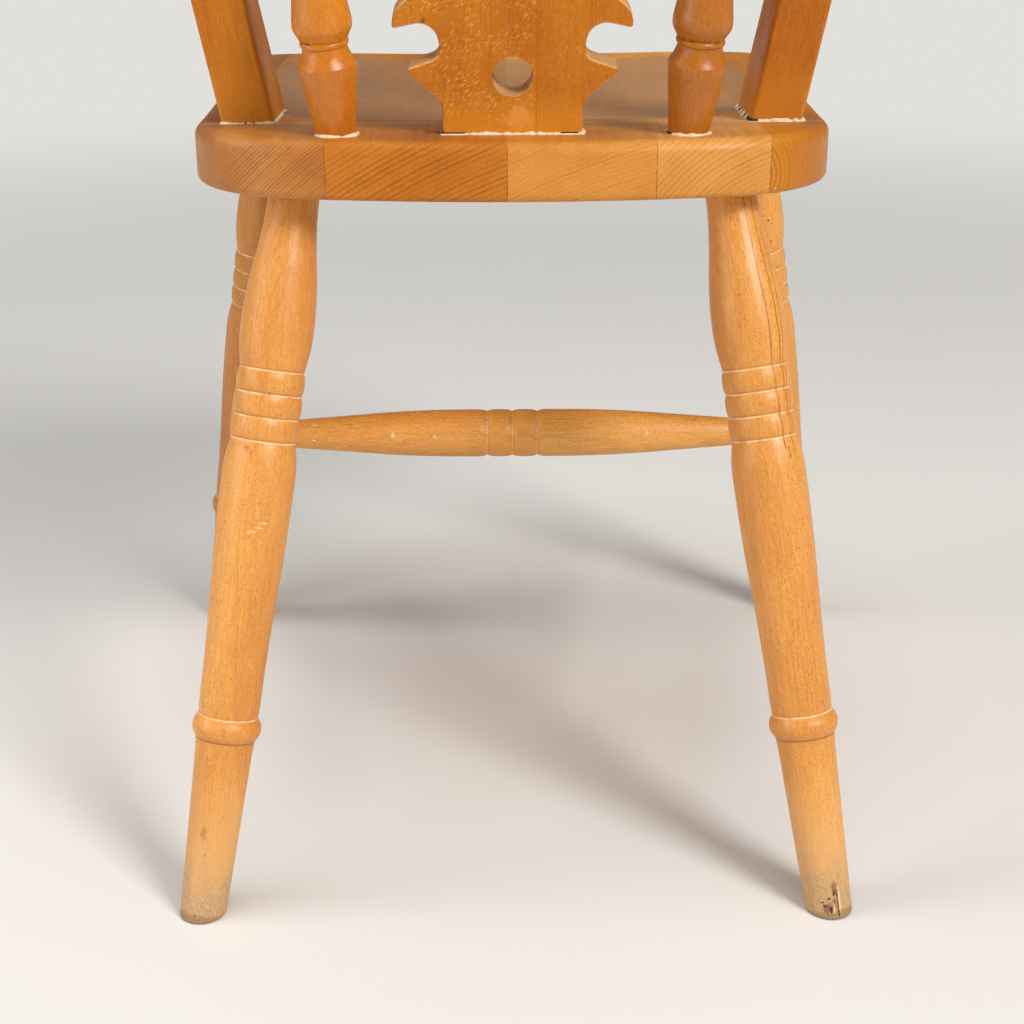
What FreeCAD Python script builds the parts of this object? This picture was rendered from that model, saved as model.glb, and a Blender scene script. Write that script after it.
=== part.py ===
"""Windsor chair in turned beech, built as its separate glued pieces.

Millimetres, +Z up, the sitter faces -Y and the sitter's left hand is +X. While the pieces are
made, the origin lies on the floor below the middle of the seat. At the end the whole chair is
moved along Y, so that the origin lies below the middle of its outline.
"""
import FreeCAD, Part
import math
import os

V = FreeCAD.Vector

# Seat
seat_height = 440.0
seat_thickness = 32.0
seat_depth = 440.0
seat_rear_width = 362.0
seat_front_width = 418.0
seat_rear_bow = 30.0
seat_front_bow = 4.0
seat_side_hollow = 6.0
seat_rear_corner_radius = 80.0
seat_front_corner_radius = 45.0
seat_top_rounding = 7.0
seat_bottom_rounding = 4.0
seat_glue_lines = (165.0, 101.0, 3.0, -77.0, -140.0)

# Hollow of the seat
dish_depth = 9.0
dish_rear_rim = 83.0
dish_side_rim = 34.0
dish_front_sill = 8.2
dish_middle_from_front = 205.0
dish_fullness = 4
dish_grid = 20
dish_overrun = 25.0

# Legs, measured at the underside of the seat and down along the leg
front_leg_spacing = 337.8
front_leg_setback = 95.0
front_leg_splay = 8.9
front_leg_rake = -3.7
rear_leg_spacing = 244.6
rear_leg_setback = 54.0
rear_leg_splay = 8.7
rear_leg_rake = 14.7
leg_tenon_diameter = 24.0
leg_tenon_length = 23.0
leg_top_diameter = 28.5
leg_vase_start = 22.0
leg_vase_shoulder = 62.0
leg_vase_diameter = 41.8
leg_vase_drop = 95.0
leg_beads_at = 104.1
leg_bead_pitch = 13.45
leg_bead_count = 3
leg_bead_diameter = 38.9
leg_groove_diameter = 36.6
leg_bead_flank = 2.6
leg_swell_reach = 11.0
leg_swell_diameter = 42.0
leg_swell_end = 200.0
leg_waist_start = 268.0
leg_waist_diameter = 35.4
leg_ring_at = 306.4
leg_ring_width = 13.2
leg_ring_diameter = 40.0
leg_ring_groove_diameter = 34.6
leg_ring_flank = 3.4
leg_ankle_drop = 5.0
leg_ankle_diameter = 33.4
leg_foot_diameter = 26.8
foot_rounding = 1.6

# Stretchers
stretcher_height = 219.0
stretcher_tenon_diameter = 16.6
stretcher_tenon_in_leg = 17.0
side_stretcher_diameter = 28.0
side_stretcher_parallel = 70.0
side_stretcher_softness = 45.0
side_stretcher_groove_at = 26.0
side_stretcher_groove_depth = 1.2
side_stretcher_groove_width = 5.0
cross_stretcher_diameter = 31.6
cross_bead_width = 16.8
cross_groove_depth = 1.3
cross_bead_flank = 2.6
cross_taper_from = 62.0
cross_taper_reach = 31.0
cross_tenon_length = 18.0
tenon_start_margin = 3.0

# Back posts
post_spacing = 299.8
post_rear_setback = 73.0
post_width = 29.4
post_head_width = 24.0
post_foot_depth = 55.0
post_knee_depth = 37.0
post_knee_height = 170.0
post_knee_softness = 80.0
post_head_depth = 20.0
post_rounding = 2.5
post_head_inset = 27.3
post_tenon_width = 22.0
post_tenon_depth = 34.0
post_tenon_length = 22.0
post_head_tenon_width = 14.0
post_head_tenon_depth = 10.0
post_head_tenon_length = 26.0

# Back spindles, heights measured along the spindle from the seat
spindle_spacing = 191.8
spindle_setback = 33.0
spindle_head_spacing = 254.0
spindle_foot_diameter = 22.0
spindle_cone_diameter = 31.2
spindle_cone_height = 35.2
spindle_shoulder_diameter = 31.8
spindle_shoulder_height = 39.6
spindle_shoulder_reach = 3.2
spindle_neck_diameter = 23.4
spindle_ring_diameter = 27.4
spindle_ring_at = 48.8
spindle_ring_width = 3.5
spindle_ring_flank = 1.2
spindle_urn_groove_diameter = 25.4
spindle_urn_diameter = 32.2
spindle_urn_low = 58.2
spindle_urn_high = 62.0
spindle_urn_reach = 3.6
spindle_upper_neck_height = 102.0
spindle_neck_reach = 30.0
spindle_upper_neck_diameter = 20.6
spindle_waist_diameter = 19.0
spindle_waist_height = 196.0
spindle_waist_reach = 40.0
spindle_collar_height = 222.0
spindle_collar_diameter = 25.0
spindle_collar_width = 9.0
spindle_collar_flank = 2.2
spindle_collar_count = 2
spindle_upper_diameter = 23.0
spindle_upper_height = 262.0
spindle_upper_reach = 16.0
spindle_head_diameter = 16.5
spindle_tenon_diameter = 14.0
spindle_tenon_length = 22.0
spindle_head_tenon_diameter = 11.0
spindle_head_tenon_length = 24.0

# Splat, heights measured along the splat from the seat
splat_rear_setback = 30.0
splat_lean = 11.0
splat_thickness = 17.0
splat_edge_rounding = 1.4
splat_tip_rounding = 1.8
splat_glue_line = -12.8
splat_foot_width = 76.0
splat_lug_base = 20.0
splat_lug_base_reach = 4.5
splat_lug_low_width = 110.0
splat_lug_low = 33.8
splat_lug_width = 113.4
splat_lug_high = 38.0
splat_bite_low_width = 76.0
splat_bite_low = 44.2
splat_bite_low_reach = 5.6
splat_bite_high_width = 81.6
splat_bite_high = 64.2
splat_bite_high_reach = 11.6
splat_wing_width = 127.2
splat_wing_tip = 59.3
splat_wing_top = 68.6
splat_wing_reach = 6.8
splat_collar_width = 74.0
splat_collar_height = 90.0
splat_collar_reach = 9.0
splat_belly_width = 104.0
splat_belly_low = 130.0
splat_belly_high = 178.0
splat_belly_reach = 24.0
splat_neck_width = 46.0
splat_neck_low = 262.0
splat_neck_high = 300.0
splat_neck_reach = 36.0
splat_head_width = 86.0
splat_head_height = 366.0
splat_head_reach = 16.0
splat_hole_diameter = 22.0
splat_hole_height = 33.6
splat_oval_width = 30.0
splat_oval_height = 62.0
splat_oval_middle = 154.0
splat_tongue_width = 58.0
splat_tongue_thickness = 10.0
splat_tongue_length = 12.0

# Crest rail
back_height = 388.0
rail_lean = 12.0
rail_length = 472.0
rail_thickness = 28.0
rail_sweep_radius = 764.0
rail_middle_height = 80.0
rail_middle_flat = 60.0
rail_shoulder_inset = 86.0
rail_shoulder_height = 58.0
rail_end_height = 52.0
rail_end_rounding = 22.0
rail_edge_rounding = 5.0
pin_diameter = 6.0
pin_length = 22.0
pin_rise = 13.0

# Fits
glue_gap = 0.15
socket_extra = 0.8
trim_allowance = 30.0
tenon_root = 6.0

seat_underside = seat_height - seat_thickness
seat_back = seat_depth / 2
seat_front = -seat_depth / 2
post_head_out = rail_length / 2 - post_head_inset
chair_sides = {"left": 1, "right": -1}
far = 2000.0
same = 0.01


def arc_by_tangents(corner, before, after, reach):
    """Arc that rounds a corner of a run, starting `reach` before the corner. Points are (a, b)."""
    into = ((corner[0] - before[0]), (corner[1] - before[1]))
    out = ((after[0] - corner[0]), (after[1] - corner[1]))
    length_in = math.hypot(*into)
    length_out = math.hypot(*out)
    into = (into[0] / length_in, into[1] / length_in)
    out = (out[0] / length_out, out[1] / length_out)
    turn = math.acos(max(-1.0, min(1.0, into[0] * out[0] + into[1] * out[1])))
    start = (corner[0] - into[0] * reach, corner[1] - into[1] * reach)
    end = (corner[0] + out[0] * reach, corner[1] + out[1] * reach)
    bisector = (out[0] - into[0], out[1] - into[1])
    size = math.hypot(*bisector)
    depth = reach * (1 / math.cos(turn / 2) - 1) / math.tan(turn / 2)
    middle = (corner[0] + bisector[0] / size * depth, corner[1] + bisector[1] / size * depth)
    return start, middle, end


def rounded_edges(points, place, closed=False):
    """Straight runs joined by tangent arcs.

    Each point is (a, b) for a sharp corner or (a, b, reach), where reach says how far before the
    corner its arc starts. Two arcs that need more than the run between them both shrink to share
    it. `place` turns (a, b) into a vector.
    """
    count = len(points)
    last = count if closed else count - 1
    reaches = []
    for i, point in enumerate(points):
        reach = point[2] if len(point) > 2 else 0.0
        if not closed and i in (0, count - 1):
            reach = 0.0
        reaches.append(reach)
    for i in range(last):
        j = (i + 1) % count
        run = math.dist(points[i][:2], points[j][:2])
        total = reaches[i] + reaches[j]
        if total > run:
            scale = run / total
            reaches[i] *= scale
            reaches[j] *= scale
    arcs = {}
    for i, reach in enumerate(reaches):
        if reach > 0:
            before = points[i - 1][:2]
            after = points[(i + 1) % count][:2]
            arcs[i] = arc_by_tangents(points[i][:2], before, after, reach)
    edges = []
    for i in range(last):
        j = (i + 1) % count
        if i in arcs:
            edges.append(Part.Arc(*[place(*p) for p in arcs[i]]).toShape())
        start = arcs[i][2] if i in arcs else points[i][:2]
        end = arcs[j][0] if j in arcs else points[j][:2]
        if math.dist(start, end) > same:
            edges.append(Part.makeLine(place(*start), place(*end)))
    return edges


def turned(points):
    """Solid of revolution about +Z from (diameter, station) or (diameter, station, reach)."""
    profile = []
    for point in points:
        profile.append((point[0] / 2,) + tuple(point[1:]))
    edges = rounded_edges(profile, lambda r, u: V(r, 0, u))
    low = profile[0][1]
    high = profile[-1][1]
    edges.append(Part.makeLine(V(profile[-1][0], 0, high), V(0, 0, high)))
    edges.append(Part.makeLine(V(0, 0, high), V(0, 0, low)))
    edges.append(Part.makeLine(V(0, 0, low), V(profile[0][0], 0, low)))
    face = Part.Face(Part.Wire(Part.__sortEdges__(edges)))
    return face.revolve(V(0, 0, 0), V(0, 0, 1), 360)


def beads(first, pitch, count, diameter, groove, flank):
    """Profile points of touching beads with a groove at each end."""
    points = []
    for i in range(count):
        start = first + i * pitch
        points.append((groove, start))
        points.append((diameter, start + flank, flank))
        points.append((diameter, start + pitch - flank, flank))
    points.append((groove, first + count * pitch))
    return points


def frame_along(start, end):
    """Placement with its origin at start, +Z towards end and X level with the world's X."""
    axis = (end - start).normalize()
    across = V(axis.z, 0, -axis.x).normalize()
    rotation = FreeCAD.Rotation(across, axis.cross(across), axis, "ZXY")
    return FreeCAD.Placement(start, rotation)


def placed(shape, placement):
    copy = shape.copy()
    copy.Placement = placement.multiply(copy.Placement)
    return copy


def slab(z_low, z_high):
    """Large level block between two heights."""
    return Part.makeBox(2 * far, 2 * far, z_high - z_low, V(-far, -far, z_low))


def centred_box(width, depth, low, high, middle_depth=0.0):
    """Block about the local Z axis, from station low to station high."""
    return Part.makeBox(width, depth, high - low, V(-width / 2, middle_depth - depth / 2, low))


def pin(diameter, low, high):
    return Part.makeCylinder(diameter / 2, high - low, V(0, 0, low))


def joined(body, *extras):
    shape = body
    for extra in extras:
        shape = shape.fuse(extra)
    return shape.removeSplitter()


# Seat

def seat_outline_edges():
    rear_half = seat_rear_width / 2
    front_half = seat_front_width / 2
    rear_y = seat_back - seat_rear_bow
    front_y = seat_front + seat_front_bow
    middle_half = (rear_half + front_half) / 2 - seat_side_hollow
    middle_y = (rear_y + front_y) / 2
    rear_left = V(rear_half, rear_y, seat_underside)
    rear_right = V(-rear_half, rear_y, seat_underside)
    front_left = V(front_half, front_y, seat_underside)
    front_right = V(-front_half, front_y, seat_underside)
    return [
        Part.Arc(rear_left, V(0, seat_back, seat_underside), rear_right).toShape(),
        Part.Arc(rear_right, V(-middle_half, middle_y, seat_underside), front_right).toShape(),
        Part.Arc(front_right, V(0, seat_front, seat_underside), front_left).toShape(),
        Part.Arc(front_left, V(middle_half, middle_y, seat_underside), rear_left).toShape(),
    ]


def upright_edges(shape, behind):
    """Edges that stand upright, behind or in front of the middle of the seat."""
    found = []
    for edge in shape.Edges:
        box = edge.BoundBox
        upright = box.ZLength > seat_thickness - same
        if upright and (box.Center.y > 0) == behind:
            found.append(edge)
    return found


def edges_at_height(shape, height):
    found = []
    for edge in shape.Edges:
        box = edge.BoundBox
        if abs(box.ZMin - height) < same and abs(box.ZMax - height) < same:
            found.append(edge)
    return found


def dish_height_at(x, y):
    """Height of the hollow's surface: flat in the middle, and it passes the seat top at the rim."""
    middle_y = seat_front + dish_middle_from_front
    rear_reach = seat_back - dish_rear_rim - middle_y
    sill_share = 1 - (dish_depth - dish_front_sill) / dish_depth
    front_reach = dish_middle_from_front / sill_share ** (1 / dish_fullness)
    along = (y - middle_y) / (rear_reach if y > middle_y else front_reach)
    flare = (seat_front_width - seat_rear_width) / 2 / seat_depth
    half_width = (seat_rear_width + seat_front_width) / 4 - dish_side_rim - flare * y
    across = x / half_width
    return seat_height - dish_depth + dish_depth * (along ** dish_fullness + across ** dish_fullness)


def dish_cutter():
    """Everything above the hollow's surface."""
    half = seat_front_width / 2
    rear = seat_back - dish_rear_rim + dish_overrun
    front = seat_front - dish_overrun
    rows = []
    for i in range(dish_grid + 1):
        y = front + (rear - front) * i / dish_grid
        row = []
        for j in range(dish_grid + 1):
            x = -half + 2 * half * j / dish_grid
            row.append(V(x, y, dish_height_at(x, y)))
        rows.append(row)
    surface = Part.BSplineSurface()
    surface.interpolate(rows)
    return surface.toShape().extrude(V(0, 0, far))


def seat_solid():
    outline = Part.Face(Part.Wire(seat_outline_edges()))
    blank = outline.extrude(V(0, 0, seat_thickness))
    blank = blank.makeFillet(seat_rear_corner_radius, upright_edges(blank, True))
    blank = blank.makeFillet(seat_front_corner_radius, upright_edges(blank, False))
    blank = blank.makeFillet(seat_top_rounding, edges_at_height(blank, seat_height))
    blank = blank.makeFillet(seat_bottom_rounding, edges_at_height(blank, seat_underside))
    return blank.cut(dish_cutter())


# Legs

def leg_axis(side, rear):
    """Top of the leg at the underside of the seat, and its foot on the floor."""
    spacing = rear_leg_spacing if rear else front_leg_spacing
    splay = math.radians(rear_leg_splay if rear else front_leg_splay)
    rake = math.radians(rear_leg_rake if rear else front_leg_rake)
    y = seat_back - rear_leg_setback if rear else seat_front + front_leg_setback
    top = V(side * spacing / 2, y, seat_underside)
    step = V(side * math.tan(splay), math.tan(rake), -1) * seat_underside
    return top, top + step


def leg_profile(length):
    ring_end = leg_ring_at + leg_ring_width
    beads_end = leg_beads_at + leg_bead_count * leg_bead_pitch
    half_pitch = leg_bead_pitch / 2
    ankle = ring_end + leg_ankle_drop
    taper = (leg_foot_diameter - leg_ankle_diameter) / (length - ankle)
    return [
        (leg_top_diameter, -trim_allowance),
        (leg_top_diameter, leg_vase_start, leg_vase_start),
        (leg_vase_diameter, leg_vase_shoulder, leg_vase_start),
        (leg_vase_diameter, leg_vase_drop - half_pitch, half_pitch),
        *beads(leg_beads_at, leg_bead_pitch, leg_bead_count,
               leg_bead_diameter, leg_groove_diameter, leg_bead_flank),
        (leg_swell_diameter, beads_end + leg_swell_reach, leg_swell_reach),
        (leg_swell_diameter, leg_swell_end, leg_swell_end - leg_swell_reach - beads_end),
        (leg_waist_diameter, leg_waist_start, leg_swell_end - leg_swell_reach - beads_end),
        (leg_waist_diameter, leg_ring_at - half_pitch),
        *beads(leg_ring_at, leg_ring_width, 1,
               leg_ring_diameter, leg_ring_groove_diameter, leg_ring_flank),
        (leg_ankle_diameter, ankle, leg_ankle_drop),
        (leg_foot_diameter + taper * trim_allowance, length + trim_allowance),
    ]


def leg_solid(side, rear):
    top, foot = leg_axis(side, rear)
    frame = frame_along(top, foot)
    length = (foot - top).Length
    body = placed(turned(leg_profile(length)), frame)
    body = body.common(slab(0, seat_underside))
    rim = edges_at_height(body, 0)
    body = body.makeFillet(foot_rounding, rim)
    tenon = placed(pin(leg_tenon_diameter, -leg_tenon_length, tenon_root), frame)
    return joined(body, tenon)


def leg_socket(side, rear):
    top, foot = leg_axis(side, rear)
    socket = pin(leg_tenon_diameter + 2 * glue_gap, -leg_tenon_length - socket_extra, tenon_root)
    return placed(socket, frame_along(top, foot))


def point_at_height(start, end, height):
    share = (height - start.z) / (end.z - start.z)
    return start + (end - start) * share


# Stretchers

def side_stretcher_ends(side):
    rear = point_at_height(*leg_axis(side, True), stretcher_height)
    front = point_at_height(*leg_axis(side, False), stretcher_height)
    return rear, front


def side_stretcher_solid(side):
    rear, front = side_stretcher_ends(side)
    middle = (front - rear).Length / 2
    body_start = leg_swell_diameter / 2 + tenon_start_margin
    tip = leg_swell_diameter / 2 - stretcher_tenon_in_leg
    groove = side_stretcher_diameter - 2 * side_stretcher_groove_depth
    half = side_stretcher_groove_width / 2
    outward = [
        (side_stretcher_diameter, side_stretcher_groove_at - half, half),
        (groove, side_stretcher_groove_at, half),
        (side_stretcher_diameter, side_stretcher_groove_at + half, half),
        (side_stretcher_diameter, side_stretcher_parallel, side_stretcher_softness),
        (stretcher_tenon_diameter, middle - body_start),
        (stretcher_tenon_diameter, middle - tip),
    ]
    return placed(turned(mirrored_stations(outward, middle)), frame_along(rear, front))


def mirrored_stations(outward, middle):
    """Profile about a middle station, from points given outward from it."""
    low = []
    for point in reversed(outward):
        low.append((point[0], middle - point[1]) + tuple(point[2:]))
    high = []
    for point in outward:
        high.append((point[0], middle + point[1]) + tuple(point[2:]))
    return low + high


def bore_between(start, end, tip):
    """Bore along the line from start to end, which begins `tip` past the start."""
    reach = (end - start).Length / 2
    bore = pin(stretcher_tenon_diameter + 2 * glue_gap, tip - socket_extra, reach)
    return placed(bore, frame_along(start, end))


def cross_stretcher_ends():
    ends = []
    for side in (1, -1):
        rear, front = side_stretcher_ends(side)
        ends.append((rear + front) * 0.5)
    return ends


def cross_stretcher_solid():
    left, right = cross_stretcher_ends()
    middle = (right - left).Length / 2
    body_start = side_stretcher_diameter / 2 + tenon_start_margin / 2
    tip = side_stretcher_diameter / 2 - cross_tenon_length
    groove = cross_stretcher_diameter - 2 * cross_groove_depth
    outward = [
        (groove, 0),
        (cross_stretcher_diameter, cross_bead_flank, cross_bead_flank),
        (cross_stretcher_diameter, cross_bead_width - cross_bead_flank, cross_bead_flank),
        (groove, cross_bead_width),
        (cross_stretcher_diameter, cross_bead_width + cross_bead_flank, cross_bead_flank),
        (cross_stretcher_diameter, cross_taper_from, cross_taper_reach),
        (stretcher_tenon_diameter, middle - body_start),
        (stretcher_tenon_diameter, middle - tip),
    ]
    profile = mirrored_stations(outward, middle)
    profile.remove((groove, middle))
    return placed(turned(profile), frame_along(left, right))


# Crest rail and the points where the back meets it

splat_foot = V(0, seat_back - splat_rear_setback - splat_thickness / 2, seat_height)
rail_middle = splat_foot + V(0, math.tan(math.radians(splat_lean)), 1) * back_height
rail_frame = FreeCAD.Placement(rail_middle, FreeCAD.Rotation(V(1, 0, 0), -rail_lean))


def rail_point(x, depth=0.0, rise=0.0):
    """Point of the rail at a distance x from its middle, on its curved middle line."""
    y = math.sqrt(rail_sweep_radius ** 2 - x ** 2) - rail_sweep_radius
    return rail_frame.multVec(V(x, y + depth, rise))


def rail_outline():
    half = rail_length / 2
    quarter = [
        (rail_middle_flat, rail_middle_height, rail_middle_flat / 2),
        (half - rail_shoulder_inset, rail_shoulder_height, rail_middle_flat / 2),
        (half, rail_end_height, rail_end_rounding),
        (half, 0, rail_end_rounding),
    ]
    mirrored = [(-p[0],) + p[1:] for p in reversed(quarter)]
    return quarter + mirrored


def rail_blank():
    """Curved bar cut to the rail's front outline, in the rail's own frame."""
    inner = rail_sweep_radius - rail_thickness / 2
    outer = rail_sweep_radius + rail_thickness / 2
    middle = V(0, -rail_sweep_radius, -rail_thickness)
    tall = rail_middle_height + 2 * rail_thickness
    ring = Part.makeCylinder(outer, tall, middle).cut(Part.makeCylinder(inner, tall, middle))
    edges = rounded_edges(rail_outline(), lambda x, z: V(x, -rail_sweep_radius / 2, z), closed=True)
    front = Part.Face(Part.Wire(Part.__sortEdges__(edges)))
    bar = ring.common(front.extrude(V(0, rail_sweep_radius, 0)))
    above_underside = [e for e in bar.Edges if e.BoundBox.ZMax > same and is_on_one_face_side(e)]
    return bar.makeFillet(rail_edge_rounding, above_underside)


def is_on_one_face_side(edge):
    """True for an edge that runs along the front or the rear face of the rail."""
    middle = (edge.FirstParameter + edge.LastParameter) / 2
    radii = []
    for parameter in (edge.FirstParameter, middle, edge.LastParameter):
        at = edge.valueAt(parameter)
        radii.append(math.hypot(at.x, at.y + rail_sweep_radius))
    return max(radii) - min(radii) < same


def below_rail():
    """Everything below the plane of the rail's underside."""
    return placed(slab(-far, 0), rail_frame)


def back_piece_space():
    """Space between the seat top and the underside of the rail."""
    return slab(seat_height, seat_height + far).common(below_rail())


# Back posts

def post_frame(side):
    """Frame of a post: its origin is the middle of the rear face at the foot."""
    foot = V(side * post_spacing / 2, seat_back - post_rear_setback, seat_height)
    head = rail_point(side * post_head_out, post_head_depth / 2)
    return frame_along(foot, head), (head - foot).Length


def post_body(length):
    """Side outline with a curved front edge, narrowed by the rear outline, long edges rounded."""
    low = -trim_allowance
    high = length + trim_allowance
    side_outline = [
        (0, low),
        (0, high),
        (-post_head_depth, high),
        (-post_head_depth, length),
        (-post_knee_depth, post_knee_height, post_knee_softness),
        (-post_foot_depth, 0),
        (-post_foot_depth, low),
    ]
    edges = rounded_edges(side_outline, lambda y, z: V(-post_width / 2, y, z), closed=True)
    body = Part.Face(Part.Wire(Part.__sortEdges__(edges))).extrude(V(post_width, 0, 0))
    half_foot = post_width / 2
    half_head = post_head_width / 2
    rear_outline = [
        (-half_foot, low),
        (half_foot, low),
        (half_foot, post_knee_height, post_knee_softness),
        (half_head, length),
        (half_head, high),
        (-half_head, high),
        (-half_head, length),
        (-half_foot, post_knee_height, post_knee_softness),
    ]
    edges = rounded_edges(rear_outline, lambda x, z: V(x, -post_foot_depth, z), closed=True)
    face = Part.Face(Part.Wire(Part.__sortEdges__(edges)))
    body = body.common(face.extrude(V(0, post_foot_depth, 0)))
    long_edges = [e for e in body.Edges if e.BoundBox.ZLength > trim_allowance / 2]
    return body.makeFillet(post_rounding, long_edges)


def post_tenons(side, gap=0.0, extra=0.0):
    frame, length = post_frame(side)
    foot_middle = -post_foot_depth / 2
    head_middle = -post_head_depth / 2
    foot = centred_box(post_tenon_width + 2 * gap, post_tenon_depth + 2 * gap,
                       -post_tenon_length - extra, tenon_root, foot_middle)
    head = centred_box(post_head_tenon_width + 2 * gap, post_head_tenon_depth + 2 * gap,
                       length - tenon_root, length + post_head_tenon_length + extra, head_middle)
    return placed(foot, frame), placed(head, frame)


def post_solid(side, space):
    frame, length = post_frame(side)
    body = placed(post_body(length), frame).common(space)
    return joined(body, *post_tenons(side))


# Back spindles

def spindle_ends(side):
    foot = V(side * spindle_spacing / 2, seat_back - spindle_setback, seat_height)
    return foot, rail_point(side * spindle_head_spacing / 2)


def spindle_profile(length):
    return [
        (spindle_foot_diameter, -trim_allowance),
        (spindle_foot_diameter, 0),
        (spindle_cone_diameter, spindle_cone_height),
        (spindle_shoulder_diameter, spindle_shoulder_height, spindle_shoulder_reach),
        (spindle_neck_diameter, spindle_ring_at),
        (spindle_ring_diameter, spindle_ring_at + spindle_ring_flank, spindle_ring_flank),
        (spindle_ring_diameter, spindle_ring_at + spindle_ring_width - spindle_ring_flank,
         spindle_ring_flank),
        (spindle_urn_groove_diameter, spindle_ring_at + spindle_ring_width),
        (spindle_urn_diameter, spindle_urn_low, spindle_urn_reach),
        (spindle_urn_diameter, spindle_urn_high, spindle_urn_reach),
        (spindle_upper_neck_diameter, spindle_upper_neck_height, spindle_neck_reach),
        (spindle_waist_diameter, spindle_waist_height, spindle_waist_reach),
        *beads(spindle_collar_height, spindle_collar_width, spindle_collar_count,
               spindle_collar_diameter, spindle_waist_diameter, spindle_collar_flank),
        (spindle_upper_diameter, spindle_upper_height, spindle_upper_reach),
        (spindle_head_diameter, length),
        (spindle_head_diameter, length + trim_allowance),
    ]


def spindle_tenons(side, gap=0.0, extra=0.0):
    foot, head = spindle_ends(side)
    length = (head - foot).Length
    frame = frame_along(foot, head)
    low = pin(spindle_tenon_diameter + 2 * gap, -spindle_tenon_length - extra, tenon_root)
    high = pin(spindle_head_tenon_diameter + 2 * gap, length - tenon_root,
               length + spindle_head_tenon_length + extra)
    return placed(low, frame), placed(high, frame)


def spindle_solid(side, space):
    foot, head = spindle_ends(side)
    body = placed(turned(spindle_profile((head - foot).Length)), frame_along(foot, head))
    return joined(body.common(space), *spindle_tenons(side))


# Splat

def splat_length():
    return (rail_middle - splat_foot).Length


def splat_half_outline():
    """One edge of the splat from the foot up, as (half width, height)."""
    sizes = [
        (splat_foot_width, -trim_allowance, 0),
        (splat_foot_width, splat_lug_base, splat_lug_base_reach),
        (splat_lug_low_width, splat_lug_low, splat_tip_rounding),
        (splat_lug_width, splat_lug_high, splat_tip_rounding),
        (splat_bite_low_width, splat_bite_low, splat_bite_low_reach),
        (splat_bite_high_width, splat_bite_high, splat_bite_high_reach),
        (splat_wing_width, splat_wing_tip, splat_tip_rounding),
        (splat_wing_width, splat_wing_top, splat_wing_reach),
        (splat_collar_width, splat_collar_height, splat_collar_reach),
        (splat_belly_width, splat_belly_low, splat_belly_reach),
        (splat_belly_width, splat_belly_high, splat_belly_reach),
        (splat_neck_width, splat_neck_low, splat_neck_reach),
        (splat_neck_width, splat_neck_high, splat_neck_reach),
        (splat_head_width, splat_head_height, splat_head_reach),
        (splat_head_width, splat_length() + trim_allowance, 0),
    ]
    return [(width / 2, height, reach) for width, height, reach in sizes]


def splat_tongues(gap=0.0, extra=0.0):
    length = splat_length()
    width = splat_tongue_width + 2 * gap
    thickness = splat_tongue_thickness + 2 * gap
    frame = frame_along(splat_foot, rail_middle)
    low = centred_box(width, thickness, -splat_tongue_length - extra, tenon_root)
    high = centred_box(width, thickness, length - tenon_root, length + splat_tongue_length + extra)
    return placed(low, frame), placed(high, frame)


def splat_solid(space):
    right = splat_half_outline()
    left = [(-x, height, reach) for x, height, reach in reversed(right)]
    face_y = splat_thickness / 2
    edges = rounded_edges(right + left, lambda x, z: V(x, -face_y, z), closed=True)
    plate = Part.Face(Part.Wire(Part.__sortEdges__(edges))).extrude(V(0, splat_thickness, 0))
    face_edges = [e for e in plate.Edges if e.BoundBox.YLength < same]
    plate = plate.makeFillet(splat_edge_rounding, face_edges)
    plate = plate.cut(cross_bore(splat_hole_diameter / 2, splat_hole_height))
    plate = plate.cut(splat_oval())
    plate = placed(plate, frame_along(splat_foot, rail_middle))
    return joined(plate.common(space), *splat_tongues())


def cross_bore(radius, height):
    """Bore through the middle of the splat."""
    return Part.makeCylinder(radius, 2 * splat_thickness, V(0, -splat_thickness, height), V(0, 1, 0))


def splat_oval():
    """Upright opening with round ends in the belly of the splat."""
    radius = splat_oval_width / 2
    straight = splat_oval_height - splat_oval_width
    low = splat_oval_middle - straight / 2
    opening = cross_bore(radius, low).fuse(cross_bore(radius, low + straight))
    middle = Part.makeBox(splat_oval_width, 2 * splat_thickness, straight,
                          V(-radius, -splat_thickness, low))
    return opening.fuse(middle)


# Pins through the rail and the heads of the posts

def pin_cutter(side):
    at = rail_point(side * post_head_out, 0, pin_rise)
    outward = rail_frame.Rotation.multVec(V(0, 1, 0))
    start = at + outward * (rail_thickness / 2 - pin_length)
    return Part.makeCylinder(pin_diameter / 2, pin_length + trim_allowance, start, outward)


# Assembly

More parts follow.
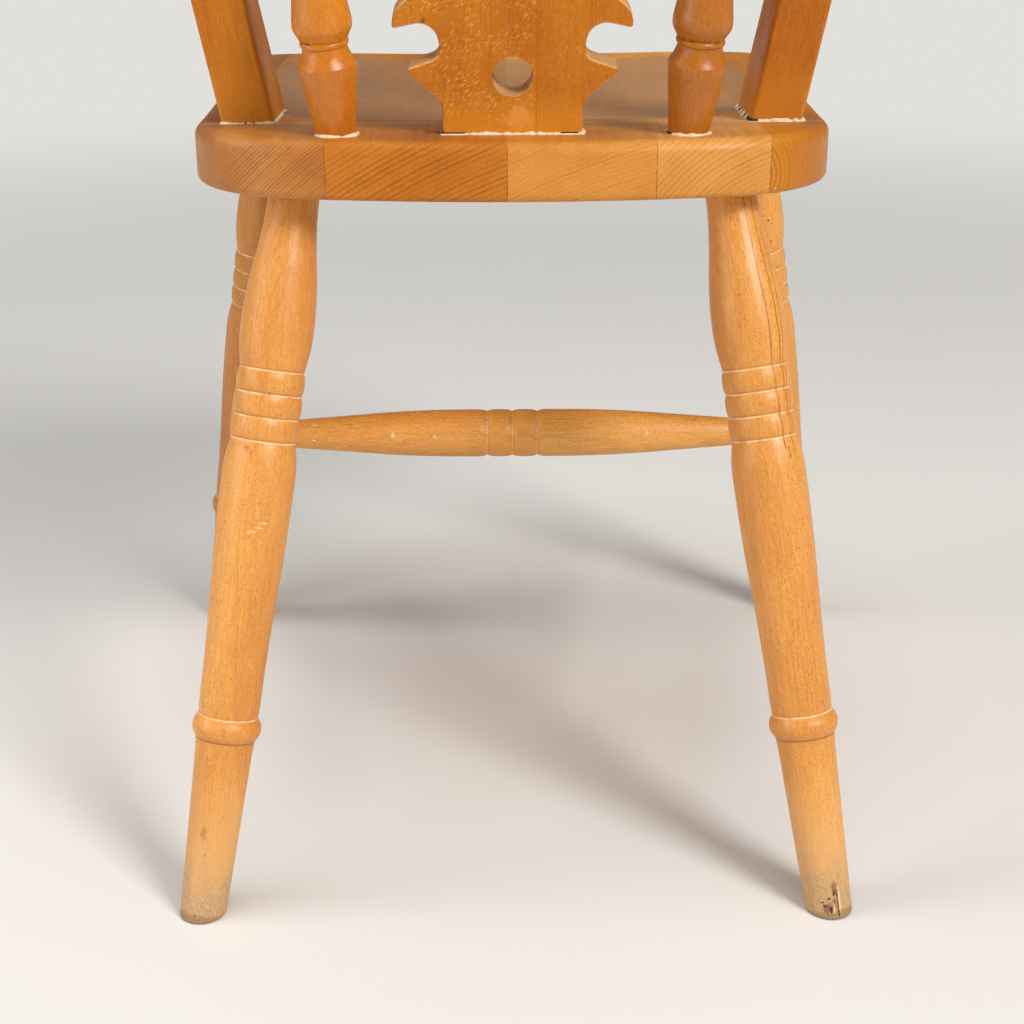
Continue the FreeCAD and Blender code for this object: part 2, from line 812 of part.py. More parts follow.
def build_nodes():
    nodes = {}
    space = back_piece_space()
    seat = seat_solid()
    rail_raw = placed(rail_blank(), rail_frame)
    rail = rail_raw
    pins = []
    for side_name, side in chair_sides.items():
        post = post_solid(side, space)
        foot_mortise, head_mortise = post_tenons(side, glue_gap, socket_extra)
        seat = seat.cut(foot_mortise)
        rail = rail.cut(head_mortise)
        bore = pin_cutter(side)
        pins.append(bore.common(rail_raw))
        rail = rail.cut(bore)
        nodes[side_name + "_back_post"] = post.cut(bore)
        foot_socket, head_socket = spindle_tenons(side, glue_gap, socket_extra)
        seat = seat.cut(foot_socket)
        rail = rail.cut(head_socket)
        nodes[side_name + "_back_spindle"] = spindle_solid(side, space)
        rear_end, front_end = side_stretcher_ends(side)
        tip = leg_swell_diameter / 2 - stretcher_tenon_in_leg
        for place_name, rear, start, end in (("rear", True, rear_end, front_end),
                                             ("front", False, front_end, rear_end)):
            seat = seat.cut(leg_socket(side, rear))
            leg = leg_solid(side, rear)
            nodes[place_name + "_" + side_name + "_leg"] = leg.cut(bore_between(start, end, tip))
    left, right = cross_stretcher_ends()
    cross_tip = side_stretcher_diameter / 2 - cross_tenon_length
    for side_name, start, end in (("left", left, right), ("right", right, left)):
        stretcher = side_stretcher_solid(chair_sides[side_name])
        nodes[side_name + "_side_stretcher"] = stretcher.cut(bore_between(start, end, cross_tip))
    nodes["cross_stretcher"] = cross_stretcher_solid()
    low_mortise, high_mortise = splat_tongues(glue_gap, socket_extra)
    seat = seat.cut(low_mortise)
    rail = rail.cut(high_mortise)
    splat = splat_solid(space)
    left_part = Part.makeBox(far, 2 * far, far, V(splat_glue_line, -far, 0))
    nodes["splat_left_board"] = splat.common(left_part)
    nodes["splat_right_board"] = splat.cut(left_part)
    nodes["crest_rail"] = rail
    nodes["crest_rail_pins"] = Part.Compound(pins)
    limits = (far,) + seat_glue_lines + (-far,)
    for i in range(len(limits) - 1):
        width = limits[i] - limits[i + 1]
        strip = Part.makeBox(width, 2 * far, far, V(limits[i + 1], -far, 0))
        nodes["seat_board_%d" % (i + 1)] = seat.common(strip)
    return nodes


def main():
    nodes = build_nodes()
    box = Part.Compound(list(nodes.values())).optimalBoundingBox(False, False)
    centring = V(0, -box.Center.y, 0)
    os.makedirs("parts", exist_ok=True)
    for name, shape in nodes.items():
        shape.translate(centring)
        shape.exportStep("parts/%s.step" % name)
        print(name, shape.isValid(), len(shape.Solids), round(shape.Volume))
    print("moved along Y by %.3f" % centring.y)


main()
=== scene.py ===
"""Windsor chair in honey lacquered beech, seen from behind: looks, light and camera.

Metres, in the row frame: +X is the sitter's left, +Y the back of the chair, Z = 0 the floor.
Two forms are made here: the crisp shoulder of the back spindles, and the dried glue round the
feet of the back pieces.
"""

import math
import random

import bmesh
import bpy
from mathutils import Matrix, Vector


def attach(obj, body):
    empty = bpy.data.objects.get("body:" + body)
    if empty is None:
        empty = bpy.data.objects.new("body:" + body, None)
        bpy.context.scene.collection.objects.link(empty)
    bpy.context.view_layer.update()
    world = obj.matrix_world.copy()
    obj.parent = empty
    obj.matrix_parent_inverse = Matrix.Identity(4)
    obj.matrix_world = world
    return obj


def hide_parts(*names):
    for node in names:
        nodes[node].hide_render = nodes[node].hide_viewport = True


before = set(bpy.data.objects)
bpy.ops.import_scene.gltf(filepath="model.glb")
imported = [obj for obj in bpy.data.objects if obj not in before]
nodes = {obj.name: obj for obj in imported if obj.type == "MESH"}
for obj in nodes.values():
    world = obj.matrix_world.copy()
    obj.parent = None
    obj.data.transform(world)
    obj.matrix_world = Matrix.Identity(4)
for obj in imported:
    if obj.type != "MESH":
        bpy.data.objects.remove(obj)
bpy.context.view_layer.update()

MM = 0.001

# Places on the chair, from part.py. Legs and back pieces are given for the sitter's left side.
SEAT_TOP = 0.440
SEAT_UNDERSIDE = 0.408
SEAT_MIDDLE_HEIGHT = 0.424
SEAT_EDGE = 0.20
STRETCHER_HEIGHT = 0.219
REAR_LEG_TOP = (0.1223, 0.1328, SEAT_UNDERSIDE)
REAR_LEG_FOOT = (0.1847, 0.2399, 0.0)
FRONT_LEG_TOP = (0.1689, -0.1582, SEAT_UNDERSIDE)
FRONT_LEG_FOOT = (0.2328, -0.1846, 0.0)
POST_FOOT = (0.1499, 0.0863, SEAT_TOP)
POST_HEAD = (0.2087, 0.1762, 0.832)
SPINDLE_FOOT = (0.0959, 0.1538, SEAT_TOP)
SPINDLE_HEAD = (0.1270, 0.2237, 0.828)
SPLAT_FOOT = (0.0, 0.1483, SEAT_TOP)
SPLAT_HALF_WIDTH = 38 * MM
SPLAT_HALF_DEPTH = 8.7 * MM
SPLAT_LEAN = math.radians(11)
SPLAT_SEAM = -12.8 * MM
RAIL_MIDDLE = (0, 0.2237, 0.828)
GLUE_LINES = (0.165, 0.101, 0.003, -0.077, -0.140)
HOLLOW_RIM = (0.4385, 0.4398)
HOLLOW_REAR = (0.104, 0.112)
HOLLOW_FRONT = (-0.236, -0.230)

# Radius in mm of the turned pieces, for the width of a mark on them.
MARK_RADIUS = 20.0


def tone(red, green, blue):
    """A screen colour, 0 to 255, as linear light."""
    shares = (value / 255 for value in (red, green, blue))
    linear = [s / 12.92 if s <= 0.04045 else ((s + 0.055) / 1.055) ** 2.4 for s in shares]
    return (*linear, 1.0)


class Surface:
    """A material built up node by node."""

    def __init__(self, name):
        self.material = bpy.data.materials.new(name)
        self.material.use_nodes = True
        self.tree = self.material.node_tree
        self.tree.nodes.clear()

    def add(self, kind, inputs=None, **settings):
        node = self.tree.nodes.new("ShaderNode" + kind)
        for key, value in settings.items():
            setattr(node, key, value)
        for key, value in (inputs or {}).items():
            self.plug(node.inputs[key], value)
        return node

    def plug(self, socket, value):
        if isinstance(value, bpy.types.NodeSocket):
            self.tree.links.new(value, socket)
        elif value is not None:
            socket.default_value = value

    def math(self, operation, first, second=None):
        node = self.add("Math", {0: first, 1: second}, operation=operation)
        return node.outputs[0]

    def vector(self, operation, first, second=None):
        node = self.add("VectorMath", {0: first, 1: second}, operation=operation)
        scalar = operation in ("LENGTH", "DOT_PRODUCT", "DISTANCE")
        return node.outputs["Value" if scalar else "Vector"]

    def combine(self, first=0.0, second=0.0, third=0.0):
        return self.add("CombineXYZ", {0: first, 1: second, 2: third}).outputs[0]

    def noise(self, where, sizes, detail=2.0, roughness=0.5, colour=False):
        """Noise whose blobs are about as large as sizes, in metres."""
        scaled = self.vector("DIVIDE", where, sizes)
        inputs = {"Vector": scaled, "Scale": 1.0, "Detail": detail, "Roughness": roughness}
        node = self.add("TexNoise", inputs)
        return node.outputs["Color" if colour else "Fac"]

    def span(self, value, low, high, start=0.0, end=1.0):
        """value between low and high, as a smooth step from start to end."""
        inputs = {"Value": value, "From Min": low, "From Max": high, "To Min": start, "To Max": end}
        return self.add("MapRange", inputs, interpolation_type="SMOOTHSTEP").outputs["Result"]

    def line(self, value, centre, half, soft=0.5):
        """1 where value is within half of centre, fading over the soft share of half."""
        away = self.math("ABSOLUTE", self.math("SUBTRACT", value, centre))
        return self.span(away, half * (1 - soft), half, 1.0, 0.0)

    def blend(self, share, first, second, kind="MIX"):
        """Colour between first and second. A Mix node's colours are its inputs 6 and 7."""
        node = self.add("Mix", data_type="RGBA", blend_type=kind)
        self.plug(node.inputs[0], share)
        self.plug(node.inputs[6], first)
        self.plug(node.inputs[7], second)
        return node.outputs[2]

    def finish(self, colour, roughness, height, depth, gloss=0.5):
        bump = self.add("Bump", {"Height": height, "Distance": depth, "Strength": 1.0})
        inputs = {
            "Base Color": colour,
            "Roughness": roughness,
            "Normal": bump.outputs[0],
            "Specular IOR Level": gloss,
        }
        shader = self.add("BsdfPrincipled", inputs)
        output = self.add("OutputMaterial")
        self.tree.links.new(shader.outputs[0], output.inputs["Surface"])
        return self.material


# Tone of the painted curly sheen.
CURL_SHEEN_TONE = tone(255, 226, 178)
GRIT_TONE = tone(228, 202, 168)
# How squarely a face cuts the grain, from the first sign of end grain to nothing else.
END_GRAIN = (0.55, 0.95)


class Wood:
    """Beech cut from a round tree: rings about a pith line, rays, fibres and end grain.

    The piece runs from origin along grain. pith is the way from there to the middle of the
    tree, pitch the width of a ring, and waver how far the rings wander.
    """

    def __init__(self, name, origin, grain, pith, seed, pitch=2.4 * MM, waver=5 * MM):
        surface = Surface(name)
        along = Vector(grain).normalized()
        towards = Vector(pith)
        towards -= towards.dot(along) * along
        self.distance = towards.length
        outward = -towards.normalized()
        across = along.cross(outward)
        turn = Matrix((outward, across, along)).transposed().to_euler()
        shift = Vector(origin)
        place = surface.add("TexCoord").outputs["Object"]
        mapping = surface.add("Mapping", {"Vector": place}, vector_type="TEXTURE")
        mapping.inputs["Location"].default_value = shift
        mapping.inputs["Rotation"].default_value = turn
        self.surface = surface
        self.along = along
        self.origin = shift
        self.place = place
        self.local = mapping.outputs[0]
        drift = surface.vector("ADD", self.local, (seed * 1.37, seed * 0.71, seed * 2.3))
        self.drift = drift
        bend = surface.noise(drift, (0.035, 0.035, 0.16), 2.0, 0.5, colour=True)
        bend = surface.vector("SUBTRACT", bend, (0.5, 0.5, 0.5))
        bend = surface.vector("MULTIPLY", bend, (waver, waver, 0.0))
        bent = surface.vector("ADD", self.local, bend)
        parts = surface.add("SeparateXYZ", {0: bent})
        radial = surface.math("ADD", parts.outputs[0], self.distance)
        flat = surface.combine(radial, parts.outputs[1])
        self.radius = surface.vector("LENGTH", flat)
        angle = surface.math("ARCTAN2", parts.outputs[1], radial)
        tangent = surface.math("MULTIPLY", angle, self.distance)
        lift = surface.math("ADD", parts.outputs[2], seed * 0.31)
        self.polar = surface.combine(self.radius, tangent, lift)
        self.station = surface.add("SeparateXYZ", {0: self.local}).outputs[2]
        normal = surface.add("NewGeometry").outputs["Normal"]
        facing = surface.math("ABSOLUTE", surface.vector("DOT_PRODUCT", normal, tuple(along)))
        self.facing = facing
        self.end = surface.span(facing, *END_GRAIN)
        self.pitch = pitch
        self.seed = seed

    def around(self, facing):
        """Angle about the piece's axis: 0 towards facing, growing to the picture's right."""
        s = self.surface
        front = Vector(facing)
        front = (front - front.dot(self.along) * self.along).normalized()
        right = self.along.cross(front)
        if right.x > 0:
            right = -right
        out = s.vector("SUBTRACT", self.place, tuple(self.origin))
        sideways = s.vector("DOT_PRODUCT", out, tuple(right))
        return s.math("ARCTAN2", sideways, s.vector("DOT_PRODUCT", out, tuple(front)))

    def build(self, look):
        """Clouds, rings, fibres, painted curly sheen, flecks and grit, then the look's layers."""
        s = self.surface
        cloud = s.noise(self.drift, (0.045, 0.045, 0.15), 3.0, 0.55)
        colour = s.blend(s.span(cloud, 0.32, 0.68), look["light"], look["dark"])
        pace = s.noise(self.drift, (0.2, 0.2, 0.5), 1.0)
        turns = s.math("DIVIDE", self.radius, self.pitch)
        turns = s.math("ADD", turns, s.math("MULTIPLY", pace, look["unevenness"]))
        share = s.math("FRACT", turns)
        late = s.math("MULTIPLY", s.span(share, 0.50, 0.90), s.span(share, 0.93, 1.0, 1.0, 0.0))
        which = s.combine(s.math("FLOOR", turns), self.seed)
        weight = s.add("TexWhiteNoise", {"Vector": which}, noise_dimensions="3D").outputs["Value"]
        weight = s.span(weight, 0.0, 1.0, look["faintest"], 1.0)
        rings = s.math("MULTIPLY", late, weight)
        lift = s.span(self.end, 0.0, 1.0, look["rings"], look["end_rings"])
        colour = s.blend(s.math("MULTIPLY", rings, lift), colour, look["ring"], "MULTIPLY")
        fibre = s.noise(self.polar, (1.1 * MM, 0.6 * MM, 0.024), 3.0, 0.6)
        fibre = s.span(fibre, 0.30, 0.70)
        side = s.span(self.end, 0.0, 1.0, 1.0, 0.3)
        share = s.math("MULTIPLY", s.math("MULTIPLY", fibre, side), look["fibre"])
        colour = s.blend(share, colour, look["ring"], "MULTIPLY")
        # The curly figure, painted as the pale wavy sheen it throws.
        curl_sheen = s.noise(self.drift, (1.3 * MM, 1.3 * MM, 4.5 * MM), 3.0, 0.65)
        curl_sheen = s.span(curl_sheen, 0.34, 0.66)
        share = s.math("MULTIPLY", s.math("MULTIPLY", curl_sheen, side), look["curl_sheen"])
        colour = s.blend(share, colour, CURL_SHEEN_TONE, "SCREEN")
        ray = s.noise(self.polar, (3 * MM, 0.34 * MM, 1.6 * MM), 1.0, 0.5)
        mask = s.span(ray, 0.56, 0.66)
        crowd = s.noise(self.drift, (0.011, 0.011, 0.03), 2.0)
        crowd = s.span(crowd, 0.35, 0.65, 0.4, 1.0)
        mask = s.math("MULTIPLY", mask, crowd)
        mask = s.math("MULTIPLY", mask, s.span(self.end, 0.0, 0.6, 1.0, 0.0))
        colour = s.blend(s.math("MULTIPLY", mask, look["flecks"]), colour, look["fleck"])
        grit = s.noise(self.drift, (0.55 * MM, 0.55 * MM, 1.2 * MM), 2.0, 0.6)
        grit = s.math("MULTIPLY", s.span(grit, 0.32, 0.68), look["grit"])
        colour = s.blend(grit, colour, GRIT_TONE, "MULTIPLY")
        dull = s.math("MULTIPLY", self.end, look["end_share"])
        colour = s.blend(dull, colour, look["end"], "MULTIPLY")
        height = s.math("MULTIPLY", fibre, -0.25)
        height = s.math("SUBTRACT", height, s.math("MULTIPLY", mask, 0.25))
        height = s.math("SUBTRACT", height, s.math("MULTIPLY", rings, 0.3))
        swell = s.noise(self.place, (0.006, 0.006, 0.006), 2.0)
        height = s.math("ADD", height, s.math("MULTIPLY", swell, 0.9))
        smear = s.noise(self.place, (0.022, 0.022, 0.022), 3.0, 0.6)
        low, high = look["sheen"]
        roughness = s.span(smear, 0.3, 0.7, low, high)
        for layer in look["layers"]:
            colour, roughness, height = layer(self, colour, roughness, height)
        return s.finish(colour, roughness, height, look["relief"] * MM, look["gloss"])


def grooves(*stations, half=0.6 * MM, share=0.75, shade_share=0.5):
    """Painted highlights along the turned grooves, each below a line of painted shade."""

    def layer(wood, colour, roughness, height):
        s = wood.surface
        patchy = s.noise(wood.place, (0.006, 0.006, 0.002), 2.0)
        patchy = s.span(patchy, 0.35, 0.6, 0.35 * share, share)
        for station in stations:
            # Painted shade on the underside of the bead above the groove.
            above = s.line(wood.station, station - 1.7 * half, 1.5 * half, 1.0)
            colour = s.blend(s.math("MULTIPLY", above, shade_share), colour, tone(176, 100, 40))
            # Painted highlight: the pale line along the groove.
            mask = s.math("MULTIPLY", s.line(wood.station, station, half), patchy)
            colour = s.blend(mask, colour, tone(252, 220, 168))
        return colour, roughness, height

    return layer


def shade_under_ring(station):
    """Painted shade: a dark brown line under a ring, where the ring shades the leg."""

    def layer(wood, colour, roughness, height):
        s = wood.surface
        mask = s.math("MULTIPLY", s.line(wood.station, station, 0.8 * MM, 0.8), 0.75)
        return s.blend(mask, colour, tone(140, 82, 34)), roughness, height

    return layer


def worn_foot(length):
    """The lowest part of a leg of that length, where the lacquer has gone."""

    def layer(wood, colour, roughness, height):
        s = wood.surface
        ragged = s.noise(wood.local, (0.010, 0.010, 0.022), 4.0, 0.6)
        level = s.math("ADD", wood.station, s.span(ragged, 0.3, 0.7, -8 * MM, 8 * MM))
        faded = s.span(level, length - 0.100, length - 0.028)
        bare_share = s.span(level, length - 0.044, length - 0.006)
        grit = s.noise(wood.local, (0.8 * MM, 0.8 * MM, 1.6 * MM), 4.0, 0.7)
        bare = s.blend(s.span(grit, 0.35, 0.65), tone(204, 168, 122), tone(168, 132, 90))
        # Dirt on the last few mm of the foot.
        dirt_and_shade = s.span(wood.station, length - 4 * MM, length, 0.0, 0.6)
        bare = s.blend(dirt_and_shade, bare, tone(104, 80, 54))
        colour = s.blend(s.math("MULTIPLY", faded, 0.6), colour, tone(222, 172, 112))
        colour = s.blend(s.math("MULTIPLY", bare_share, 0.88), colour, bare)
        roughness = s.math("MAXIMUM", roughness, s.math("MULTIPLY", faded, 0.62))
        height = s.math("SUBTRACT", height, s.math("MULTIPLY", bare_share, 0.5))
        return colour, roughness, height

    return layer


def paler_foot(reach, shade, share):
    """Paler colour rising from the foot of a back piece: painted light, and polish gathered there.
    """

    def layer(wood, colour, roughness, height):
        s = wood.surface
        mask = s.span(wood.station, 0.0, reach, share, 0.0)
        return s.blend(mask, colour, tone(*shade)), roughness, height

    return layer


def sawn_and_top_lit():
    """Cuts across the grain, duller and rougher than the faces, painted pale as lit from above."""

    def layer(wood, colour, roughness, height):
        s = wood.surface
        mask = s.math("MULTIPLY", s.span(wood.facing, 0.22, 0.5), 0.85)
        grit = s.noise(wood.place, (0.7 * MM, 0.7 * MM, 0.7 * MM), 3.0, 0.7)
        grit = s.span(grit, 0.35, 0.65)
        # Painted light from above: the cuts coloured pale beige.
        bare = s.blend(grit, tone(232, 190, 134), tone(196, 146, 92))
        colour = s.blend(mask, colour, bare)
        roughness = s.math("MAXIMUM", roughness, s.math("MULTIPLY", mask, 0.8))
        dips = s.math("MULTIPLY", s.math("MULTIPLY", grit, mask), 0.8)
        height = s.math("SUBTRACT", height, dips)
        return colour, roughness, height

    return layer


def pale_rays(slope, length, width, share, crowd):
    """Short pale rays showing through the lacquer, rising to the picture's right at that slope.

    crowd is the share that is left of them where they are few.
    """

    def layer(wood, colour, roughness, height):
        s = wood.surface
        angle = math.radians(slope)
        along = s.vector("DOT_PRODUCT", wood.place, (-math.cos(angle), 0.0, math.sin(angle)))
        across = s.vector("DOT_PRODUCT", wood.place, (math.sin(angle), 0.0, math.cos(angle)))
        ray = s.noise(s.combine(along, across), (length, width, 1.0), 1.0, 0.5)
        where = s.noise(wood.place, (0.012, 0.012, 0.012), 2.0)
        where = s.span(where, 0.40, 0.60, crowd, 1.0)
        mask = s.math("MULTIPLY", s.span(ray, 0.58, 0.68), where)
        colour = s.blend(s.math("MULTIPLY", mask, share), colour, tone(248, 178, 88))
        dip = s.span(ray, 0.34, 0.42, 1.0, 0.0)
        colour = s.blend(s.math("MULTIPLY", dip, 0.35 * share), colour, tone(128, 66, 10))
        return colour, roughness, s.math("ADD", height, s.math("MULTIPLY", mask, 0.5))

    return layer


def seams(*places, share=0.75, shade=(104, 58, 22), half=0.35 * MM, top=1.0):
    """Thin dark lines where two boards are glued edge to edge.

    top is the share of them that shows off the end grain.
    """

    def layer(wood, colour, roughness, height):
        s = wood.surface
        sideways = s.add("SeparateXYZ", {0: wood.place}).outputs[0]
        patchy = s.noise(wood.place, (0.006, 0.006, 0.006), 2.0)
        patchy = s.span(patchy, 0.3, 0.6, 0.5 * share, share)
        patchy = s.math("MULTIPLY", patchy, s.span(wood.end, 0.0, 1.0, top, 1.0))
        for place in places:
            mask = s.math("MULTIPLY", s.line(sideways, place, half, 0.6), patchy)
            colour = s.blend(mask, colour, tone(*shade))
        return colour, roughness, height

    return layer


def blot(centre, size, shade, share):
    """One soft patch of another tone, such as a knot, a filled hole or a rubbed place."""

    def layer(wood, colour, roughness, height):
        s = wood.surface
        away = s.vector("DIVIDE", s.vector("SUBTRACT", wood.place, centre), size)
        away = s.vector("LENGTH", away)
        uneven = s.noise(wood.place, tuple(0.5 * value for value in size), 3.0, 0.6)
        away = s.math("ADD", away, s.span(uneven, 0.3, 0.7, -0.3, 0.3))
        mask = s.span(away, 0.5, 1.1, share, 0.0)
        return s.blend(mask, colour, tone(*shade)), roughness, height

    return layer


def hollow_wear_and_reflection():
    """The hollow of the seat, dulled and greyed by wear and by painted reflection."""

    def layer(wood, colour, roughness, height):
        s = wood.surface
        parts = s.add("SeparateXYZ", {0: wood.place})
        depth = parts.outputs[1]
        normal = s.add("NewGeometry").outputs["Normal"]
        up = s.add("SeparateXYZ", {0: normal}).outputs[2]
        hollow = s.span(parts.outputs[2], *HOLLOW_RIM, 1.0, 0.0)
        hollow = s.math("MULTIPLY", hollow, s.span(up, 0.7, 0.9))
        inside = s.span(depth, *HOLLOW_REAR, 1.0, 0.0)
        inside = s.math("MULTIPLY", inside, s.span(depth, *HOLLOW_FRONT))
        hollow = s.math("MULTIPLY", hollow, inside)
        # Greyer brown over the hollow: wear, and a painted reflection of the room.
        smear = s.noise(wood.place, (0.05, 0.03, 0.03), 4.0, 0.6)
        share = s.math("MULTIPLY", hollow, s.span(smear, 0.3, 0.7, 0.5, 0.75))
        colour = s.blend(share, colour, tone(160, 124, 92))
        # Painted reflection: a blue-grey band towards the hollow's rear.
        rear = s.math("MULTIPLY", hollow, s.span(depth, 0.060, 0.100, 0.0, 0.65))
        colour = s.blend(rear, colour, tone(126, 120, 114))
        # A greyer brown band on the flat seat about the hollow's rear edge.
        behind = s.math("MULTIPLY", s.line(depth, 0.118, 0.020, 1.0), 0.35)
        behind = s.math("MULTIPLY", behind, s.span(up, 0.9, 0.99))
        colour = s.blend(behind, colour, tone(150, 118, 86))
        # Painted highlight: a pale line along the hollow's rear edge.
        rim_highlight = s.line(depth, 0.112, 0.006, 1.0)
        rim_highlight = s.math("MULTIPLY", s.math("MULTIPLY", rim_highlight, s.span(up, 0.9, 0.99)), 0.3)
        colour = s.blend(rim_highlight, colour, tone(232, 182, 124))
        return colour, roughness, height

    return layer


def chips(cell, share):
    """Small pale chips in the lacquer, at most one to a cell and in that share of the cells."""

    def layer(wood, colour, roughness, height):
        s = wood.surface
        scaled = s.vector("DIVIDE", wood.place, (cell, cell, cell))
        cells = s.add("TexVoronoi", {"Vector": scaled, "Scale": 1.0})
        pick = s.add("SeparateColor", {0: cells.outputs["Color"]})
        ragged = s.noise(wood.place, (1.1 * MM, 1.1 * MM, 1.1 * MM), 2.0)
        size = s.math("MULTIPLY", pick.outputs[1], 0.075)
        size = s.math("MULTIPLY", size, s.span(ragged, 0.35, 0.65, 0.4, 1.4))
        near = s.math("LESS_THAN", cells.outputs["Distance"], size)
        chosen = s.math("LESS_THAN", pick.outputs[0], share)
        mask = s.math("MULTIPLY", near, chosen)
        colour = s.blend(s.math("MULTIPLY", mask, 0.75), colour, tone(240, 205, 160))
        height = s.math("SUBTRACT", height, s.math("MULTIPLY", mask, 1.5))
        return colour, roughness, height

    return layer


def marks(spots, shade, facing, share):
    """Small ragged marks, each (degrees round the piece, station, half width, half length).

    Lengths are in mm, and the degrees are counted from the way that facing points.
    """

    def layer(wood, colour, roughness, height):
        s = wood.surface
        around = wood.around(facing)
        ragged = s.noise(wood.polar, (1.2 * MM, 1.2 * MM, 3 * MM), 3.0, 0.6)
        ragged = s.span(ragged, 0.3, 0.7, -0.45, 0.45)
        for angle, station, half_width, half_length in spots:
            sideways = s.math("SUBTRACT", around, math.radians(angle))
            sideways = s.math("MULTIPLY", sideways, MARK_RADIUS / half_width)
            along = s.math("SUBTRACT", wood.station, station * MM)
            along = s.math("DIVIDE", along, half_length * MM)
            away = s.vector("LENGTH", s.combine(sideways, along))
            mask = s.span(s.math("ADD", away, ragged), 0.55, 1.0, 1.0, 0.0)
            colour = s.blend(s.math("MULTIPLY", mask, share), colour, tone(*shade))
            height = s.math("SUBTRACT", height, s.math("MULTIPLY", mask, 1.2))
        return colour, roughness, height

    return layer


def growth_lines(lines, shade, facing, share):
    """Dark lines along a turned piece.

    Each is (degrees at the start, degrees at the end, start, end, half width in degrees), with
    the start and the end as stations in mm.
    """

    def layer(wood, colour, roughness, height):
        s = wood.surface
        around = wood.around(facing)
        waver = s.noise(wood.local, (0.012, 0.012, 0.03), 2.0)
        around = s.math("ADD", around, s.span(waver, 0.2, 0.8, -0.03, 0.03))
        for first, last, start, end, half in lines:
            centre = s.add("MapRange", {
                "Value": wood.station, "From Min": start * MM, "From Max": end * MM,
                "To Min": math.radians(first), "To Max": math.radians(last)}).outputs["Result"]
            mask = s.line(s.math("SUBTRACT", around, centre), 0.0, math.radians(half), 0.7)
            reach = s.math(
                "MULTIPLY",
                s.span(wood.station, (start - 6) * MM, start * MM),
                s.span(wood.station, end * MM, (end + 8) * MM, 1.0, 0.0),
            )
            mask = s.math("MULTIPLY", mask, reach)
            colour = s.blend(s.math("MULTIPLY", mask, share), colour, tone(*shade))
        return colour, roughness, height

    return layer


BEECH = {
    "light": tone(228, 156, 84),
    "dark": tone(208, 132, 60),
    "ring": tone(196, 150, 108),
    "fleck": tone(176, 104, 40),
    "end": tone(216, 178, 146),
    "rings": 0.16,
    "end_rings": 0.8,
    "unevenness": 5.0,
    "faintest": 0.2,
    "fibre": 0.22,
    "curl_sheen": 0.08,
    "flecks": 0.35,
    "grit": 0.5,
    "end_share": 0.2,
    "sheen": (0.27, 0.42),
    "relief": 0.12,  # mm
    "gloss": 0.45,
    "layers": (),
}


def vary(**changes):
    return {**BEECH, **changes}


def mirrored(point, side):
    """The point of the left side (side 1) as it is, or its twin on the right side (-1)."""
    return Vector((point[0] * side, point[1], point[2]))


def linked(name, data):
    """A new object in the scene."""
    thing = bpy.data.objects.new(name, data)
    bpy.context.scene.collection.objects.link(thing)
    return thing


# Legs: turned from blanks whose pith lay off to one side.
LEG_GROOVES = (0.1041, 0.11755, 0.1310, 0.14445)
LEG_RING_TOP = 0.3062
LEG_RING_END = 0.3200
TURNED = {
    "light": tone(238, 170, 76),
    "dark": tone(220, 146, 54),
    "fibre": 0.34,
    "flecks": 0.6,
    "sheen": (0.34, 0.48),
    "gloss": 0.5,
}
# Painted shadow: darker tones for the front left leg, which the seat shades.
SEAT_SHADOW_TONES = {"light": tone(206, 138, 52), "dark": tone(188, 118, 36)}
LEFT_REAR_VIEW = (-0.15, 0.92, 0.0)
RIGHT_REAR_VIEW = (0.16, 0.92, 0.0)
# What the photograph shows on each leg: dents, scratches, splinters and growth lines.
LEG_MARKS = {
    "rear_left_leg": (
        marks(((-31, 149, 1.6, 1.8), (-22, 151, 1.1, 1.6), (20, 128, 0.9, 0.9),
               (-3, 117, 1.2, 1.2)),
              (176, 86, 48), LEFT_REAR_VIEW, 0.6),
        marks(((-10, 196, 1.6, 0.7), (-2, 195, 2.4, 0.5), (7, 192.5, 2.4, 0.5),
               (14, 189.5, 1.8, 0.6)),
              (252, 214, 158), LEFT_REAR_VIEW, 0.8),
        marks(((24, 391, 0.8, 1.0), (-18, 387, 1.4, 1.2), (-26, 374, 3.0, 4.0)),
              (164, 110, 62), LEFT_REAR_VIEW, 0.55),
        marks(((-24, 425, 0.9, 1.2),), (30, 20, 12), LEFT_REAR_VIEW, 0.95),
    ),
    "rear_right_leg": (
        growth_lines(((31, 39, 6, 146, 2.2), (50, 57, 2, 150, 2.6), (64, 63, 30, 140, 1.8)),
                     (156, 88, 30), RIGHT_REAR_VIEW, 0.7),
        marks(((45, 153, 0.7, 3.6), (39, 149, 0.5, 2.2)), (116, 62, 24), RIGHT_REAR_VIEW, 0.85),
        marks(((-8, 47, 0.8, 0.9), (-5, 62, 1.2, 0.8), (-2, 76, 1.1, 0.6), (-20, 92, 0.6, 1.1)),
              (176, 104, 44), RIGHT_REAR_VIEW, 0.5),
        marks(((24, 411, 3.4, 5.2), (2, 422, 4.6, 4.2), (20, 419, 2.0, 4.0)),
              (132, 84, 48), RIGHT_REAR_VIEW, 0.85),
        marks(((34, 417, 0.9, 8.5), (18, 422, 0.8, 3.2)), (240, 216, 172), RIGHT_REAR_VIEW, 0.85),
        marks(((28, 421, 0.9, 8.0), (10, 423, 1.6, 3.0), (8, 416, 1.3, 0.8), (-10, 418, 2.2, 0.6),
               (-3, 420.5, 3.0, 0.5), (22, 414, 0.8, 2.4)),
              (36, 22, 14), RIGHT_REAR_VIEW, 0.92),
    ),
    "front_right_leg": (
        marks(((21, 74, 0.5, 0.5), (30, 78, 0.8, 0.8), (37, 81, 0.5, 0.5), (32, 94, 0.8, 0.9)),
              (60, 30, 12), RIGHT_REAR_VIEW, 0.95),
    ),
}
